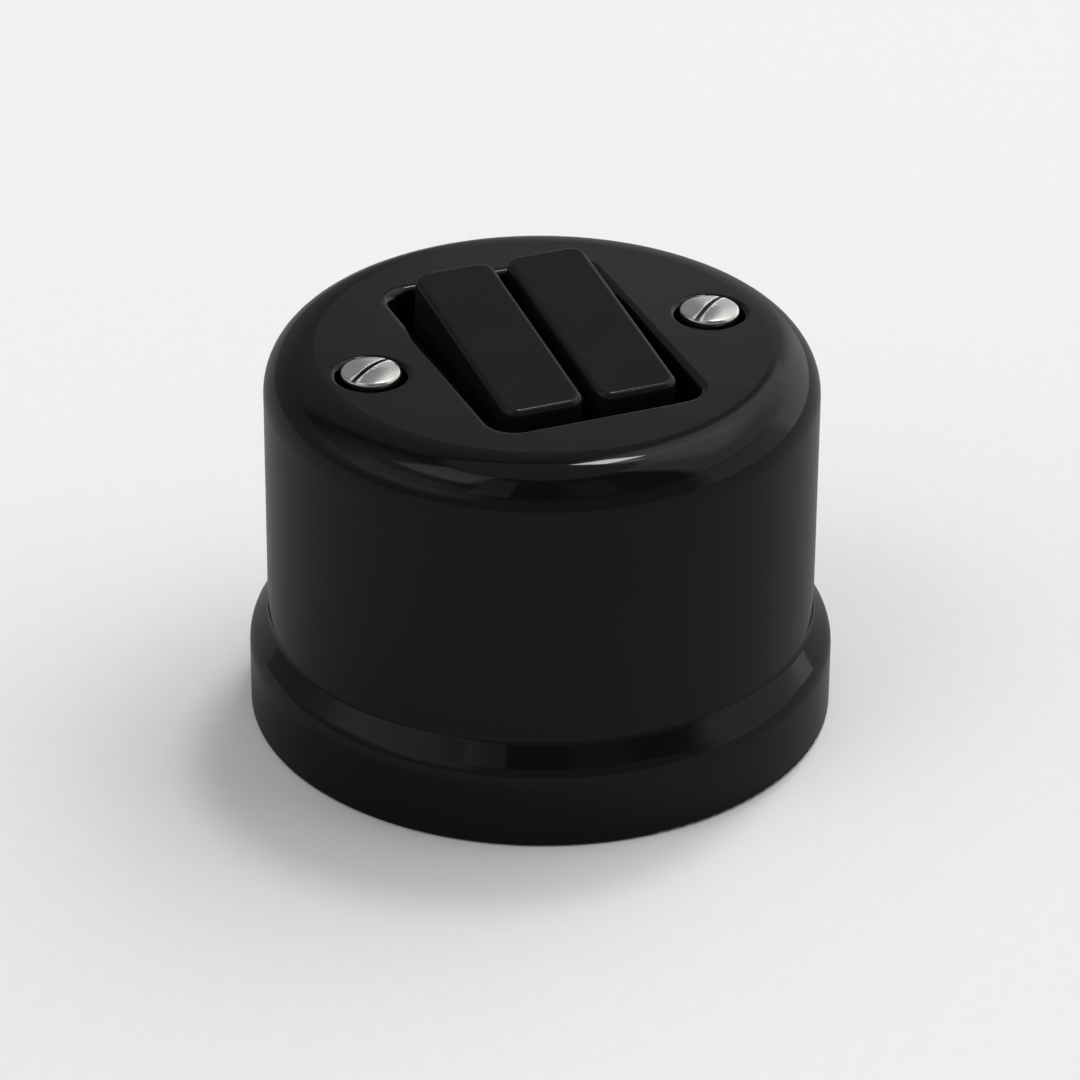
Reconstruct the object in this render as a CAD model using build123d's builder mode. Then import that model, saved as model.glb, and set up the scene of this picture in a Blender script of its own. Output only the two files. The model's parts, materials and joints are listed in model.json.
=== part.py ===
from build123d import *
import os
from math import cos, radians, sin

# Surface-mounted porcelain switch for a window blind, with two rocker keys side by side.
# Units are millimetres. The origin is the centre of the back, which lies on the wall.
# +Z points out of the wall, +X runs along the line of the two cover screws,
# and +Y runs along the keys, from their pressed ends to their raised ends.

# Cover: one glazed porcelain piece, turned round, with a wider foot flange
flange_d = 65.5
flange_h = 8.7
flange_step = 2.1
shoulder_h = 3.35
shoulder_r = 3.5
shoulder_root_r = 1.5
cover_h = 44.5
foot_edge_r = 0.5
top_edge_r = 5.6
cover_wall = 3.75
cover_top = 6.0
cavity_edge_r = 3.0
opening_w = 24.0
opening_l = 35.0
opening_corner_r = 2.8
opening_lip_r = 1.1

# Base: porcelain disc let into the cover's foot
base_t = 6.0
base_seat_w = 2.0
base_fit = 0.4
base_edge = 0.4
cable_d = 12.0
wall_hole_inset = 6.9
wall_hole_d = 4.5
wall_head_d = 8.0
wall_head_depth = 2.0

# Cover screws and the hexagon pillars that take them
screw_d = 4.0
screw_hole_d = 4.6
screw_head_d = 6.7
screw_rim_h = 2.4
screw_dome_h = 0.75
head_edge_r = 0.3
screw_length = 14.0
screw_slot_w = 0.65
screw_slot_depth = 0.6
left_slot_angle = 33.0
right_slot_angle = 40.0
recess_d = 7.6
recess_depth = 2.2
recess_lip_r = 0.7
pillar_af = 6.0
pillar_pocket = 1.0
pillar_fit = 0.15
pillar_tap_depth = 12.0
thread_fit = 0.05

# Screws from behind the base into the pillars and the housing
back_screw_length = 10.0
back_head_d = 6.6
back_head_h = 2.3
back_dome_h = 0.2
back_slot_w = 1.0
back_slot_depth = 1.1
back_recess_d = 7.4
back_recess_depth = 3.0
back_hole_d = 4.5

# Keys: hollow moulded rockers on stub pivots
key_tilt = 7.2
key_w = 9.4
key_l = 28.7
key_gap = 1.5
key_rise = 5.25
key_skirt = 3.4
key_wall = 1.2
key_top = 1.6
key_corner_r = 1.8
key_edge_r = 0.75
pivot_depth = 3.0
boss_w = 4.2
boss_l = 5.0
boss_drop = 8.0
boss_side_gap = 0.2
stub_d = 2.5
stub_end_gap = 0.1
pivot_fit = 0.05

# Sprung plunger in each key
plunger_d = 2.4
plunger_fit = 0.05
plunger_guide = 4.0
plunger_gap = 0.1
spigot_d = 1.1
spigot_h = 1.2
spring_length = 6.0
spring_d = 2.2
spring_wire_d = 0.35
spring_turns = 5
spring_end_gap = 0.05

# Contact rocker under each key, bent up at both arms
rocker_drop = 14.0
rocker_bend = 10.0
rocker_arm = 9.0
rocker_w = 4.0
rocker_t = 0.8
rocker_seat_gap = 0.05
notch_depth = 0.6
notch_l = 1.8
contact_arm = 7.2
contact_gap = 0.15
button_d = 2.8
button_h = 0.5
button_edge = 0.15
rivet_d = 1.6
rivet_fit = 0.05

# Mechanism housing: moulded bridge over the cable entry
housing_w = 20.4
housing_l = 31.0
leg_l = 6.5
leg_h = 12.0
housing_corner_r = 1.0
boss_floor_gap = 0.5
well_l = 23.0
well_corner_r = 0.6
cheek_t = 0.9
cheek_l = 4.8
rib_l = 1.1
rib_fit = 0.25
shelf_l = 21.0
shelf_t = 5.0
shelf_rim = 0.6

# Insulating plate on the housing, wider than the key opening
plate_t = 0.8
plate_overlap = 1.2
plate_corner_r = 3.0
window_fit = 0.4

# Brass strips, their wire clamps and clamp screws
strip_t = 1.0
strip_w = 3.6
strip_fit = 0.15
cradle_w = 2.6
cradle_l = 3.0
clamp_w = 4.2
clamp_t = 1.0
clamp_gap = 0.1
clamp_screw_d = 3.0
clamp_head_d = 4.2
clamp_rim_h = 1.4
clamp_dome_h = 0.4
clamp_screw_depth = 5.0
clamp_slot_w = 0.7
clamp_slot_depth = 0.9
clamp_relief = 0.3

# Radii and levels that follow from the sizes above
flange_r = flange_d / 2
body_r = flange_r - flange_step
shoulder_z = flange_h + shoulder_h
cavity_r = body_r - cover_wall
cavity_z = cover_h - cover_top
base_r = cavity_r + base_seat_w
rebate_r = base_r + base_fit
recess_z = cover_h - recess_depth
pillar_z = base_t - pillar_pocket
pole_x = (key_w + key_gap) / 2
pivot_z = cover_h - pivot_depth
rocker_z = pivot_z - rocker_drop
well_w = boss_w + 2 * boss_side_gap
housing_z = pivot_z - boss_drop - boss_floor_gap
leg_y = (housing_l - leg_l) / 2
boss_swing = boss_drop * sin(radians(key_tilt))
window_w = well_w + 2 * (cheek_t + window_fit)
window_l = boss_l + 2 * (boss_swing + window_fit)
poles = {"up": -pole_x, "down": pole_x}

# A closed arm lies almost level, and its button stops just above the fixed one
closed_slope = radians(rocker_bend - key_tilt)
contact_y = contact_arm * cos(closed_slope) + button_h * sin(closed_slope)
closed_z = rocker_z + contact_arm * sin(closed_slope) - button_h * cos(closed_slope)
strip_top = closed_z - contact_gap - button_h
floor_z = strip_top - strip_t
terminal_x = housing_w / 2 + clamp_gap + clamp_w / 2
shelf_w = 2 * (terminal_x + clamp_w / 2 + shelf_rim)

# Plan of each brass strip, as the path of its centre line
strip_paths = {
    "line_terminal": ((-pole_x, 0), (-terminal_x, 0), (-terminal_x, contact_y)),
    "up_terminal": ((-pole_x, -contact_y), (-terminal_x, -contact_y)),
    "down_terminal": ((pole_x, -contact_y), (terminal_x, -contact_y)),
    "link_strap": ((-pole_x, contact_y), (pole_x, contact_y), (pole_x, 0)),
}
cradle_spots = {"line_terminal": (-pole_x, 0), "link_strap": (pole_x, 0)}
contact_spots = {
    "up_terminal": (-pole_x, -contact_y),
    "down_terminal": (pole_x, -contact_y),
    "link_strap": (-pole_x, contact_y),
}
clamp_spots = {
    "line_terminal": (-terminal_x, contact_y),
    "up_terminal": (-terminal_x, -contact_y),
    "down_terminal": (terminal_x, -contact_y),
}
screw_x = (opening_w / 2 + opening_lip_r + cavity_r) / 2
screw_spots = ((-screw_x, 0), (screw_x, 0))
leg_spots = ((0, -leg_y), (0, leg_y))
wall_hole_y = base_r - wall_hole_inset
wall_spots = ((0, -wall_hole_y), (0, wall_hole_y))


def corner(sketch, x, y):
    """Pick the sketch's vertex nearest to a point of its plane."""
    return sketch.vertices().sort_by_distance((x, y))[0]


def tilted_plane(x, z, tilt):
    """Plane at (x, 0, z) whose +Y end is raised by the tilt, in degrees."""
    return Plane((x, 0, z), x_dir=(1, 0, 0), z_dir=(0, -sin(radians(tilt)), cos(radians(tilt))))


def add_screw(seat, head_r, rim_h, dome_h, shank_r, length, slot_w, slot_depth, slot_angle=0):
    """Add a slotted screw with its head on the seat plane and its shank behind it."""
    half_plane = Plane(seat.origin, x_dir=seat.x_dir, z_dir=-seat.y_dir)
    with BuildSketch(half_plane) as half:
        with BuildLine():
            dome = TangentArc((0, rim_h + dome_h), (head_r, rim_h), tangent=(1, 0))
            Polyline(dome @ 1, (head_r, 0), (shank_r, 0), (shank_r, -length), (0, -length), dome @ 0)
        make_face()
        fillet(corner(half, head_r, rim_h), head_edge_r)
    revolve(half.sketch, axis=Axis(seat.origin, seat.z_dir))
    with BuildSketch(seat.offset(rim_h + dome_h - slot_depth)) as slot:
        Rectangle(2 * head_r + slot_w, slot_w, rotation=slot_angle)
    extrude(slot.sketch, amount=slot_depth, mode=Mode.SUBTRACT)


def add_rivet(seat, sheet):
    """Add a contact rivet with its button on the seat plane and its shank through the sheet behind."""
    half_plane = Plane(seat.origin, x_dir=seat.x_dir, z_dir=-seat.y_dir)
    with BuildSketch(half_plane) as half:
        with BuildLine():
            Polyline(
                (0, button_h),
                (button_d / 2, button_h),
                (button_d / 2, 0),
                (rivet_d / 2, 0),
                (rivet_d / 2, -sheet),
                (0, -sheet),
                close=True,
            )
        make_face()
        chamfer(corner(half, button_d / 2, button_h), button_edge)
    revolve(half.sketch, axis=Axis(seat.origin, seat.z_dir))


def draw_strip(path, width):
    """Draw a strip's plan: a band along the path with a square pad on each end."""
    with BuildLine() as centre_line:
        Polyline(*path)
    trace(centre_line.edges(), line_width=width)
    with Locations(path[0], path[-1]):
        Rectangle(width, width)


def arm_seat(pole, side):
    """Plane under a rocker arm at its contact, facing away from the strip, with the key at rest."""
    slope = radians(rocker_bend - side * key_tilt)
    along = Vector(0, side * cos(slope), sin(slope))
    under = Vector(0, side * sin(slope), -cos(slope))
    return Plane(Vector(pole, 0, rocker_z) + along * contact_arm, x_dir=(1, 0, 0), z_dir=under)


os.makedirs("parts", exist_ok=True)

# Ceramic cover: a turned section, then the key opening and the screw seats
with BuildPart() as cover:
    with BuildSketch(Plane.XZ) as section:
        with BuildLine():
            Polyline(
                (rebate_r, 0),
                (flange_r, 0),
                (flange_r, flange_h),
                (body_r, shoulder_z),
                (body_r, cover_h),
                (0, cover_h),
                (0, cavity_z),
                (cavity_r, cavity_z),
                (cavity_r, base_t),
                (rebate_r, base_t),
                close=True,
            )
        make_face()
        fillet(corner(section, flange_r, 0), foot_edge_r)
        fillet(corner(section, flange_r, flange_h), shoulder_r)
        fillet(corner(section, body_r, shoulder_z), shoulder_root_r)
        fillet(corner(section, body_r, cover_h), top_edge_r)
        fillet(corner(section, cavity_r, cavity_z), cavity_edge_r)
    revolve(axis=Axis.Z)
    with BuildSketch(Plane.XY.offset(cavity_z)):
        RectangleRounded(opening_w, opening_l, opening_corner_r)
    extrude(amount=cover_top, mode=Mode.SUBTRACT)
    fillet(cover.edges(Select.LAST).group_by(Axis.Z)[-1], opening_lip_r)
    with Locations(Plane.XY.offset(cover_h)):
        with Locations(*screw_spots):
            CounterBoreHole(screw_hole_d / 2, recess_d / 2, recess_depth, depth=cover_top)
    fillet(cover.edges(Select.LAST).group_by(Axis.Z)[-1], recess_lip_r)
cover.part.label = "ceramic_cover"
export_step(cover.part, "parts/ceramic_cover.step")

# Ceramic base: disc with hexagon pillar pockets in front and screw recesses behind
with BuildPart() as base:
    with BuildSketch():
        Circle(base_r)
    extrude(amount=base_t)
    chamfer(base.edges().group_by(Axis.Z)[-1], base_edge)
    with BuildSketch(Plane.XY.offset(pillar_z)):
        with Locations(*screw_spots):
            RegularPolygon(pillar_af / 2 + pillar_fit, 6, major_radius=False, rotation=30)
    extrude(amount=pillar_pocket, mode=Mode.SUBTRACT)
    with Locations(Plane.XY.offset(base_t)):
        with Locations(*wall_spots):
            CounterBoreHole(wall_hole_d / 2, wall_head_d / 2, wall_head_depth, depth=base_t)
        Hole(cable_d / 2)
    with Locations(Plane.XY.rotated((180, 0, 0))):
        with Locations(*screw_spots, *leg_spots):
            CounterBoreHole(back_hole_d / 2, back_recess_d / 2, back_recess_depth, depth=base_t)
base.part.label = "ceramic_base"
export_step(base.part, "parts/ceramic_base.step")

# Threaded pillars: hexagon brass posts, tapped at both ends
with BuildPart() as pillars:
    with BuildSketch(Plane.XY.offset(pillar_z)):
        with Locations(*screw_spots):
            RegularPolygon(pillar_af / 2, 6, major_radius=False, rotation=30)
    extrude(amount=cavity_z - pillar_z)
    with Locations(Plane.XY.offset(cavity_z)):
        with Locations(*screw_spots):
            Hole(screw_d / 2 + thread_fit, depth=pillar_tap_depth)
    with Locations(Plane.XY.offset(pillar_z)):
        with Locations(*screw_spots):
            Hole(screw_d / 2 + thread_fit, depth=pillar_tap_depth)
pillars.part.label = "threaded_pillars"
export_step(pillars.part, "parts/threaded_pillars.step")

# Cover screws: raised slotted heads in the cover's recesses
with BuildPart() as cover_screws:
    for (x, y), slot_angle in zip(screw_spots, (left_slot_angle, right_slot_angle)):
        add_screw(
            Plane((x, y, recess_z)),
            screw_head_d / 2,
            screw_rim_h,
            screw_dome_h,
            screw_d / 2,
            screw_length,
            screw_slot_w,
            screw_slot_depth,
            slot_angle,
        )
cover_screws.part.label = "cover_screws"
export_step(cover_screws.part, "parts/cover_screws.step")

# Screws from behind: one pair into the pillars, one pair into the housing's legs
for name, spots in {"pillar_screws": screw_spots, "housing_screws": leg_spots}.items():
    with BuildPart() as back_screws:
        for x, y in spots:
            add_screw(
                Plane((x, y, back_recess_depth), x_dir=(1, 0, 0), z_dir=(0, 0, -1)),
                back_head_d / 2,
                back_head_h,
                back_dome_h,
                screw_d / 2,
                back_screw_length,
                back_slot_w,
                back_slot_depth,
            )
    back_screws.part.label = name
    export_step(back_screws.part, f"parts/{name}.step")

# Mechanism housing: a bridge with a contact well and two bearing cheeks under each key
with BuildPart() as housing:
    with BuildSketch(Plane.XY.offset(base_t)):
        RectangleRounded(housing_w, housing_l, housing_corner_r)
    extrude(amount=housing_z - base_t)
    with BuildSketch(Plane.XY.offset(base_t)):
        Rectangle(housing_w, housing_l - 2 * leg_l)
    extrude(amount=leg_h, mode=Mode.SUBTRACT)
    with BuildSketch(Plane.XY.offset(floor_z - shelf_t)):
        RectangleRounded(shelf_w, shelf_l, housing_corner_r)
    extrude(amount=shelf_t)
    with BuildSketch(Plane.XY.offset(floor_z)):
        with Locations(*((x, 0) for x in poles.values())):
            RectangleRounded(well_w, well_l, well_corner_r)
    extrude(amount=housing_z - floor_z, mode=Mode.SUBTRACT)
    for path in strip_paths.values():
        with BuildSketch(Plane.XY.offset(floor_z)):
            draw_strip(path, strip_w + 2 * strip_fit)
        extrude(amount=strip_t + strip_fit, mode=Mode.SUBTRACT)
    for pole in poles.values():
        for face_x in (pole - well_w / 2 - cheek_t, pole + well_w / 2):
            with BuildSketch(Plane.YZ.offset(face_x)):
                with Locations((0, (housing_z + pivot_z) / 2)):
                    Rectangle(cheek_l, pivot_z - housing_z)
                with Locations((0, pivot_z)):
                    Circle(cheek_l / 2)
                    Circle(stub_d / 2 + pivot_fit, mode=Mode.SUBTRACT)
            extrude(amount=cheek_t)
        with BuildSketch(Plane.XY.offset(strip_top + strip_fit)):
            with Locations((pole - well_w / 2, 0), (pole + well_w / 2, 0)):
                Rectangle(well_w - rocker_w + 2 * (notch_depth - rib_fit), rib_l)
        extrude(amount=housing_z - strip_top - strip_fit)
    with Locations(Plane.XY.offset(floor_z)):
        with Locations(*clamp_spots.values()):
            Hole(clamp_screw_d / 2 + clamp_relief, depth=clamp_screw_depth - strip_t)
    with Locations(Plane.XY.offset(base_t)):
        with Locations(*leg_spots):
            Hole(screw_d / 2 + thread_fit, depth=back_screw_length)
housing.part.label = "mechanism_housing"
export_step(housing.part, "parts/mechanism_housing.step")

# Insulating plate: a fibre sheet under the key opening, with a window round each pair of cheeks
with BuildPart() as plate:
    with BuildSketch(Plane.XY.offset(housing_z)):
        RectangleRounded(opening_w + 2 * plate_overlap, opening_l + 2 * plate_overlap, plate_corner_r)
        with Locations(*((x, 0) for x in poles.values())):
            Rectangle(window_w, window_l, mode=Mode.SUBTRACT)
    extrude(amount=plate_t)
plate.part.label = "insulating_plate"
export_step(plate.part, "parts/insulating_plate.step")

# Key, plunger, spring, contact rocker and rivets of each pole
for pole_name, pole in poles.items():
    key_plane = tilted_plane(pole, pivot_z, key_tilt)
    rocker_plane = tilted_plane(pole, rocker_z, -key_tilt)

    # Levels along the key's own upright axis, from its pivot
    bend = radians(rocker_bend)
    tip_z = -(rocker_drop - (rocker_t + plunger_d / 2) / cos(bend) - plunger_gap)
    plunger_top_z = plunger_guide - boss_drop
    bore_top_z = plunger_top_z + spring_length

    with BuildPart() as key:
        with BuildSketch(key_plane.offset(-key_skirt)):
            RectangleRounded(key_w, key_l, key_corner_r)
        extrude(amount=key_skirt + key_rise)
        with BuildSketch(key_plane.offset(-key_skirt)):
            RectangleRounded(key_w - 2 * key_wall, key_l - 2 * key_wall, key_corner_r - key_wall / 2)
        extrude(amount=key_skirt + key_rise - key_top, mode=Mode.SUBTRACT)
        top_rim = key.faces().sort_by(Axis(key_plane.origin, key_plane.z_dir))[-1].edges()
        fillet(top_rim, key_edge_r)
        with BuildSketch(key_plane.offset(-boss_drop)):
            Rectangle(boss_w, boss_l)
        extrude(amount=boss_drop + key_rise - key_top)
        with BuildSketch(Plane.YZ.offset(pole - boss_w / 2 - boss_side_gap - cheek_t + stub_end_gap)):
            with Locations((0, pivot_z)):
                Circle(stub_d / 2)
        extrude(amount=boss_w + 2 * (boss_side_gap + cheek_t - stub_end_gap))
        with BuildSketch(key_plane.offset(-boss_drop)):
            Circle(plunger_d / 2 + plunger_fit)
        extrude(amount=boss_drop + bore_top_z, mode=Mode.SUBTRACT)
    key.part.label = f"{pole_name}_key"
    export_step(key.part, f"parts/{pole_name}_key.step")

    with BuildPart() as plunger:
        half_plane = Plane(key_plane.origin, x_dir=key_plane.x_dir, z_dir=-key_plane.y_dir)
        with BuildSketch(half_plane):
            with BuildLine():
                tip = CenterArc((0, tip_z), plunger_d / 2, -90, 90)
                Polyline(
                    tip @ 1,
                    (plunger_d / 2, plunger_top_z),
                    (spigot_d / 2, plunger_top_z),
                    (spigot_d / 2, plunger_top_z + spigot_h),
                    (0, plunger_top_z + spigot_h),
                    tip @ 0,
                )
            make_face()
        revolve(axis=Axis(key_plane.origin, key_plane.z_dir))
    plunger.part.label = f"{pole_name}_plunger"
    export_step(plunger.part, f"parts/{pole_name}_plunger.step")

    with BuildPart() as spring:
        coil_h = spring_length - spring_wire_d - 2 * spring_end_gap
        coil_start = plunger_top_z + spring_end_gap + spring_wire_d / 2
        with BuildLine() as coil:
            Helix(
                coil_h / spring_turns,
                coil_h,
                (spring_d - spring_wire_d) / 2,
                center=key_plane.from_local_coords((0, 0, coil_start)),
                direction=key_plane.z_dir,
            )
        with BuildSketch(Plane(coil.line @ 0, z_dir=coil.line % 0)):
            RegularPolygon(spring_wire_d / 2, 6)
        sweep(path=coil.line)
    spring.part.label = f"{pole_name}_spring"
    export_step(spring.part, f"parts/{pole_name}_spring.step")

    with BuildPart() as rocker:
        with BuildSketch(Plane(rocker_plane.origin, x_dir=rocker_plane.y_dir, z_dir=rocker_plane.x_dir)):
            with BuildLine():
                arm_end = (rocker_arm * cos(bend), rocker_arm * sin(bend))
                arm_top = (arm_end[0] - rocker_t * sin(bend), arm_end[1] + rocker_t * cos(bend))
                Polyline((0, 0), arm_end, arm_top, (0, rocker_t / cos(bend)))
                mirror(about=Plane.YZ)
            make_face()
        extrude(amount=rocker_w / 2, both=True)
        with BuildSketch(rocker_plane):
            with Locations((-rocker_w / 2, 0), (rocker_w / 2, 0)):
                Rectangle(2 * notch_depth, notch_l)
        extrude(amount=rocker_t * 2, both=True, mode=Mode.SUBTRACT)
        with Locations(arm_seat(pole, 1), arm_seat(pole, -1)):
            Hole(rivet_d / 2 + rivet_fit, depth=rocker_t * 2)
    rocker.part.label = f"{pole_name}_contact_rocker"
    export_step(rocker.part, f"parts/{pole_name}_contact_rocker.step")

    with BuildPart() as rocker_rivets:
        for side in (1, -1):
            add_rivet(arm_seat(pole, side), rocker_t)
    rocker_rivets.part.label = f"{pole_name}_rocker_rivets"
    export_step(rocker_rivets.part, f"parts/{pole_name}_rocker_rivets.step")

# Brass strips: three terminals and the strap that links the two poles
for name, path in strip_paths.items():
    with BuildPart() as strip:
        with BuildSketch(Plane.XY.offset(floor_z)):
            draw_strip(path, strip_w)
            if name in contact_spots:
                with Locations(contact_spots[name]):
                    Circle(rivet_d / 2 + rivet_fit, mode=Mode.SUBTRACT)
            if name in clamp_spots:
                with Locations(clamp_spots[name]):
                    Circle(clamp_screw_d / 2 + thread_fit, mode=Mode.SUBTRACT)
        extrude(amount=strip_t)
        if name in cradle_spots:
            with BuildSketch(Plane.XY.offset(strip_top)):
                with Locations(cradle_spots[name]):
                    Rectangle(cradle_w, cradle_l)
            extrude(amount=rocker_z - rocker_seat_gap - strip_top)
    strip.part.label = name
    export_step(strip.part, f"parts/{name}.step")

# Fixed contacts, riveted into the strips
with BuildPart() as fixed_contacts:
    for x, y in contact_spots.values():
        add_rivet(Plane((x, y, strip_top)), strip_t)
fixed_contacts.part.label = "fixed_contacts"
export_step(fixed_contacts.part, "parts/fixed_contacts.step")

# Square wire clamps on the terminals, and the screws that press them down
with BuildPart() as clamps:
    with BuildSketch(Plane.XY.offset(strip_top)):
        with Locations(*clamp_spots.values()):
            Rectangle(clamp_w, clamp_w)
            Circle(clamp_screw_d / 2 + clamp_relief, mode=Mode.SUBTRACT)
    extrude(amount=clamp_t)
clamps.part.label = "terminal_clamps"
export_step(clamps.part, "parts/terminal_clamps.step")

with BuildPart() as clamp_screws:
    for x, y in clamp_spots.values():
        add_screw(
            Plane((x, y, strip_top + clamp_t)),
            clamp_head_d / 2,
            clamp_rim_h,
            clamp_dome_h,
            clamp_screw_d / 2,
            clamp_t + clamp_screw_depth - clamp_relief,
            clamp_slot_w,
            clamp_slot_depth,
        )
clamp_screws.part.label = "terminal_screws"
export_step(clamp_screws.part, "parts/terminal_screws.step")
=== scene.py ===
import json
import logging
import math
from dataclasses import dataclass, replace
from enum import Enum
from typing import Any

import bmesh
import bpy
from mathutils import Matrix, Vector
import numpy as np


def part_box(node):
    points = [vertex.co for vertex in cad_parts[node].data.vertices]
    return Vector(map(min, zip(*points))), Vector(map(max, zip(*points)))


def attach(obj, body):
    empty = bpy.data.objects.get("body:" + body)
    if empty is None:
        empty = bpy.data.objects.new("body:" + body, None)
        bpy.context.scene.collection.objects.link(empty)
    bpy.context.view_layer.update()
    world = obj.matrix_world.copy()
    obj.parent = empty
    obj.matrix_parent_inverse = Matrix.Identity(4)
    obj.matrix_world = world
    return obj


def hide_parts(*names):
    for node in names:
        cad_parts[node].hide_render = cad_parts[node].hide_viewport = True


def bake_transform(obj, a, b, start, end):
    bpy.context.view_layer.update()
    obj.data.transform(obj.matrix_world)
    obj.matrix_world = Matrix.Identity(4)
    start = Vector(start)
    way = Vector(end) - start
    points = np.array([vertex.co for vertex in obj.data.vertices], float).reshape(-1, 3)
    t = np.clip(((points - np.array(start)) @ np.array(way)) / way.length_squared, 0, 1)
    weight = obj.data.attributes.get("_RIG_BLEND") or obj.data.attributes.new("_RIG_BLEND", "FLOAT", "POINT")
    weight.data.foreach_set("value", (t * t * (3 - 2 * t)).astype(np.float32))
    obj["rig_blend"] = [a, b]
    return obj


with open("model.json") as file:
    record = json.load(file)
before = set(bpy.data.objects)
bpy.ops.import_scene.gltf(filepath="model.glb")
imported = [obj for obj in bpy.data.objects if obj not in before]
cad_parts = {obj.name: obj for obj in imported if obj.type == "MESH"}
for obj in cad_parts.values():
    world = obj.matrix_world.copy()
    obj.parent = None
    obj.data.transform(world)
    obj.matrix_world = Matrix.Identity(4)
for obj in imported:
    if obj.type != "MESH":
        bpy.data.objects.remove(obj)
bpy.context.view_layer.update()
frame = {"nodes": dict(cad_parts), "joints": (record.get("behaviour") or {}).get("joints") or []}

Inputs = dict[str | int, Any]
BMesh = bmesh.types.BMesh
Tree = bpy.types.NodeTree
Node = bpy.types.Node
Socket = bpy.types.NodeSocket

log = logging.getLogger("blind_switch")
# Half width, in degrees, of a light patch that goes all round
ALL_ROUND = 400.0
JOINTS = {joint["name"]: joint for joint in frame["joints"]}
UP = Vector((0, 0, 1))
MM = 0.001
# Points that are closer than this, in millimetres, count as one
TOUCH = 1e-4


def linear(hex_colour: str) -> tuple[float, float, float, float]:
    """Turn an sRGB hex colour to linear light.

    Args:
        hex_colour: The colour as six hex digits, with a leading hash sign.

    Returns:
        Red, green, blue and an alpha of one.
    """
    channels = (int(hex_colour[i : i + 2], 16) / 255 for i in (1, 3, 5))
    red, green, blue = (c / 12.92 if c <= 0.04045 else ((c + 0.055) / 1.055) ** 2.4 for c in channels)
    return red, green, blue, 1.0


def per_metre(size_mm: float) -> float:
    """Give the texture scale at which one cell is as wide as a size in millimetres."""
    return 1 / (size_mm * MM)


def add_node(tree: Tree, kind: str, inputs: Inputs | None = None, **settings: Any) -> Node:
    """Add a node with its settings, and fill or link its inputs.

    Args:
        tree: The node tree that gets the node.
        kind: The node's type name, without the leading ShaderNode.
        inputs: By the input's name or number, a value, a socket to link from, or a node
            whose first live output is linked.
        settings: Properties of the node itself.

    Returns:
        The new node.
    """
    node = tree.nodes.new("ShaderNode" + kind)
    for name, value in settings.items():
        setattr(node, name, value)
    for name, value in (inputs or {}).items():
        if isinstance(value, Node):
            value = next(output for output in value.outputs if output.enabled)
        if isinstance(value, Socket):
            tree.links.new(value, node.inputs[name])
        else:
            node.inputs[name].default_value = value
    return node


class Slot(Enum):
    """Material slots of the record that each set of new screws names; nothing reads them, and the finish
    comes from the set's own finish.
    """

    NICKEL = "nickel_plate"
    ZINC = "zinc_steel"
    SPRING = "spring_steel"


class Grain(Enum):
    """How a metal was worked, as its pattern's scale along X, Y and Z: the smaller, the longer its lines."""

    ROLLED = (0.05, 1.0, 1.0)
    DRAWN = (1.0, 1.0, 0.05)
    TUMBLED = (1.0, 1.0, 1.0)


class Mark(Enum):
    """Attributes that the points of a screw carry for its finish."""

    AXIS_GAP = "axis_gap"
    # Painted shade inside the screw's slot, deeper towards its floor
    SLOT_SHADE = "slot_shade"
    # Lips worn bright, partly a painted highlight
    WEAR_AND_HIGHLIGHT = "wear_and_highlight"


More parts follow.
